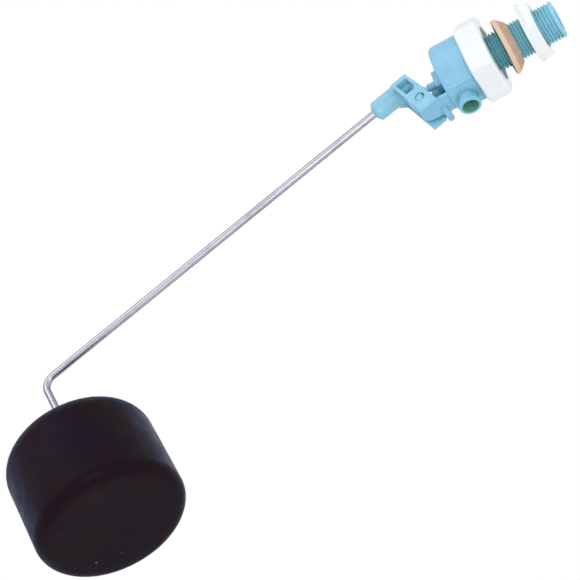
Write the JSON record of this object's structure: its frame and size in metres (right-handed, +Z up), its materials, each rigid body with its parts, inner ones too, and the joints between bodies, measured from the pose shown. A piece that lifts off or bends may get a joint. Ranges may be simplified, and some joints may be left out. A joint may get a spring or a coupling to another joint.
{
  "type": "float valve",
  "caption": "Side-inlet cistern float valve with threaded tail, union nut, ribbed outlet nozzle, forked lever, bent rod and hollow cylindrical float.",
  "frame": {"origin": "centre of the inlet tail's mouth, on the valve axis", "axes": "+X along the valve axis, out of the inlet; +Z up, so the outlet nozzle points to -Z; the lever, rod and float lie towards -X in the plane Y = 0"},
  "size_m": [0.3612, 0.083, 0.1917],
  "materials": {
    "body_plastic": "light blue moulded plastic, satin",
    "lever_plastic": "light cyan-blue moulded plastic, satin",
    "tail_plastic": "teal-blue moulded plastic, satin",
    "white_plastic": "white moulded plastic, soft gloss",
    "inner_plastic": "natural white moulded plastic",
    "tan_rubber": "tan moulded rubber, matte",
    "black_rubber": "black rubber, matte",
    "rod_steel": "drawn bright steel wire rod",
    "float_plastic": "black blow-moulded plastic, semi-gloss"
  },
  "bodies": {
    "root": {"valve_body": "body_plastic", "union_nut": "white_plastic", "inlet_tail": "tail_plastic", "tail_gasket": "black_rubber", "seat_carrier": "inner_plastic", "carrier_oring": "black_rubber", "seat_nozzle": "inner_plastic", "inlet_strainer": "inner_plastic", "diaphragm": "black_rubber", "pivot_pin": "lever_plastic"},
    "plunger": {"plunger": "body_plastic", "thrust_disc": "inner_plastic"},
    "lever_arm": {"lever": "lever_plastic", "float_rod": "rod_steel"},
    "float": {"float_body": "float_plastic", "float_bush": "inner_plastic"},
    "tank_washer": {"tank_washer": "tan_rubber"},
    "lock_nut": {"lock_nut": "white_plastic"}
  },
  "joints": [
    {"name": "lever_pivot", "type": "hinge", "parent": "root", "child": "lever_arm", "pos_m": [-0.082, 0, -0.0105], "axis": [0, 1, 0], "range_deg": [0, 22.7]},
    {"name": "plunger_slide", "type": "slide", "parent": "root", "child": "plunger", "axis": [1, 0, 0], "range_m": [0, 0.0038], "deforming": ["diaphragm"]},
    {"name": "float_turn", "type": "hinge", "parent": "lever_arm", "child": "float", "pos_m": [-0.32253, 0, -0.10286], "axis": [-0.1908, 0, 0.9816], "continuous": true},
    {"name": "washer_slide", "type": "slide", "parent": "root", "child": "tank_washer", "axis": [1, 0, 0], "range_m": [-0.003, 0.0004]},
    {"name": "lock_nut_travel", "type": "slide", "parent": "root", "child": "lock_nut", "axis": [1, 0, 0], "range_m": [-0.006, 0.01]}
  ],
  "couplings": [
    {"joint": "plunger_slide", "follows": "lever_pivot", "m_per_rad": 0.009313}
  ]
}
